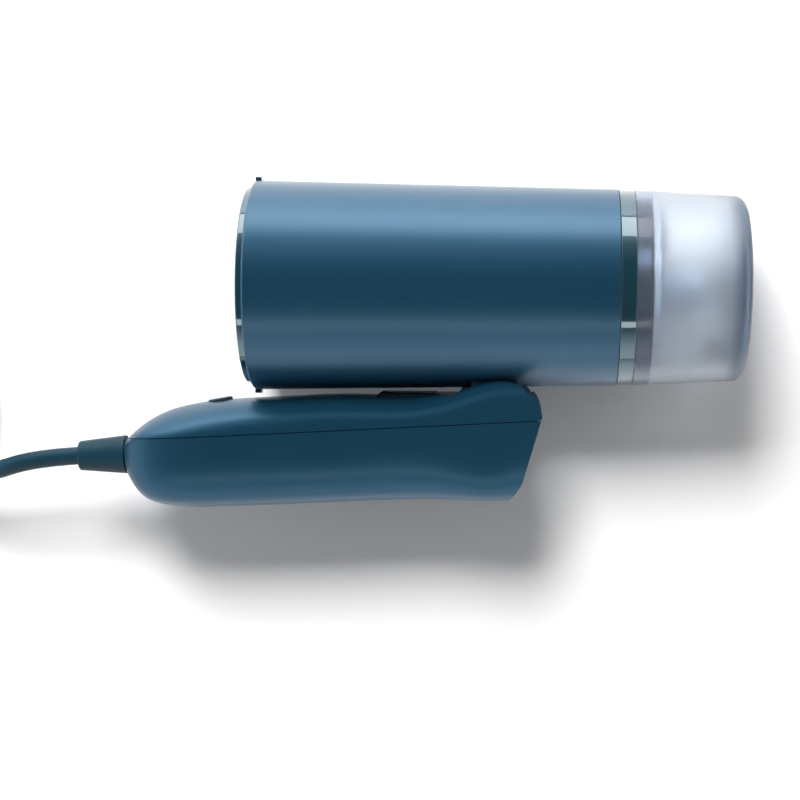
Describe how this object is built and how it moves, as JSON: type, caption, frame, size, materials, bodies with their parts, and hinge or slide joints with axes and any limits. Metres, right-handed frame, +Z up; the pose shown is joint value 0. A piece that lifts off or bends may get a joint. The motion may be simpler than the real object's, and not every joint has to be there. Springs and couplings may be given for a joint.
{
  "type": "garment steamer",
  "caption": "Folding handheld garment steamer lying on its side: round head with steam plate and clip-off water tank, hinged pistol grip with trigger, power button, wound mains lead and plug.",
  "frame": {"origin": "on the table under the centre of the steamer's box, cord and plug left out", "axes": "+X along the head from steam plate to water tank, +Y from the folded handle to the head, +Z up from the table the steamer lies on"},
  "size_m": [0.3986, 0.1555, 0.0807],
  "materials": {
    "shell_blue": "satin metallic moulding",
    "handle_blue": "satin metallic moulding",
    "trim_gloss": "high gloss",
    "tank_frosted": "frosted translucent moulding",
    "tank_fitting": "natural moulding",
    "dark_plastic": "fine spark texture",
    "dock_plastic": "satin",
    "cord_rubber": "soft matt",
    "plate_coated": "coated, satin",
    "cast_aluminium": "as cast",
    "steel": "bright",
    "pin_plating": "bright nickel",
    "copper": "enamelled winding",
    "silicone": "translucent",
    "heat_plastic": "glass filled",
    "nylon": "natural",
    "board_green": "solder mask",
    "wire_skin": "extruded"
  },
  "bodies": {
    "handle": {"handle_rear_cover": "handle_blue", "handle_front_cover": "handle_blue", "handle_screws": "steel", "hinge_pin": "steel", "friction_washers": "steel", "trigger_pin": "steel", "trigger_spring": "steel", "microswitch": "dark_plastic", "power_switch": "dark_plastic", "button_spring": "steel", "terminal_block": "nylon", "handle_wires": "wire_skin", "cord_clamp": "nylon", "clamp_screws": "steel", "cord_cuff": "cord_rubber", "cord_lead": "cord_rubber", "cord_coil": "cord_rubber", "cord_tail": "cord_rubber", "plug_body": "cord_rubber", "plug_pins": "pin_plating"},
    "head": {"head_shell": "shell_blue", "front_bezel": "trim_gloss", "steam_plate": "plate_coated", "plate_gasket": "silicone", "steam_chamber": "cast_aluminium", "heating_element": "steel", "thermostat": "heat_plastic", "thermal_fuse": "steel", "heat_shield": "heat_plastic", "chassis": "heat_plastic", "chassis_screws": "steel", "pump_body": "nylon", "pump_coil": "copper", "pump_mounts": "silicone", "pump_spring": "steel", "outlet_hose": "silicone", "inlet_hose": "silicone", "circuit_board": "board_green", "board_posts": "nylon", "head_wires": "wire_skin", "hinge_foot": "dark_plastic", "hinge_plate": "steel", "head_screws": "steel", "hinge_bushes": "nylon", "docking_bulkhead": "dock_plastic", "docking_sleeve": "dock_plastic", "docking_seal": "silicone", "collar_ring": "trim_gloss"},
    "armature": {"pump_armature": "steel"},
    "tank": {"tank_shell": "tank_frosted", "tank_lid": "tank_fitting", "tank_lid_seal": "silicone", "valve_spring": "steel", "pickup_tube": "silicone", "pickup_filter": "steel"},
    "valve": {"valve_poppet": "nylon"},
    "filler": {"filler_plug": "silicone"},
    "trigger": {"trigger": "dark_plastic"},
    "plunger": {"microswitch_plunger": "nylon"},
    "button": {"power_button": "dark_plastic"}
  },
  "joints": [
    {"name": "head_fold", "type": "hinge", "parent": "handle", "child": "head", "pos_m": [0.034, -0.0286, 0.04035], "axis": [0, 0, -1], "range_deg": [0, 106]},
    {"name": "tank_release", "type": "slide", "parent": "head", "child": "tank", "axis": [1, 0, 0], "range_m": [0, 0.06]},
    {"name": "valve_close", "type": "slide", "parent": "tank", "child": "valve", "axis": [-1, 0, 0], "range_m": [0, 0.002], "deforming": ["valve_spring"]},
    {"name": "filler_pull", "type": "slide", "parent": "tank", "child": "filler", "axis": [-1, 0, 0], "range_m": [0, 0.0065]},
    {"name": "pump_stroke", "type": "slide", "parent": "head", "child": "armature", "axis": [1, 0, 0], "range_m": [0, 0.0015], "stiffness_N_per_m": 2000, "springref_m": -0.001, "deforming": ["pump_spring"]},
    {"name": "trigger_press", "type": "hinge", "parent": "handle", "child": "trigger", "pos_m": [0.0096, -0.0236, 0.04035], "axis": [0, 0, 1], "range_deg": [0, 6], "stiffness_Nm_per_rad": 0.3, "springref_deg": -5.73, "deforming": ["trigger_spring"]},
    {"name": "switch_plunge", "type": "slide", "parent": "handle", "child": "plunger", "axis": [0, -1, 0], "range_m": [0, 0.0014]},
    {"name": "button_press", "type": "slide", "parent": "handle", "child": "button", "axis": [0.1736, -0.9848, 0], "range_m": [0, 0.001], "stiffness_N_per_m": 1500, "springref_m": -0.001, "deforming": ["button_spring"]}
  ],
  "couplings": [
    {"joint": "valve_close", "follows": "tank_release", "ratio": 0.0333},
    {"joint": "switch_plunge", "follows": "trigger_press", "m_per_rad": 0.01336}
  ]
}
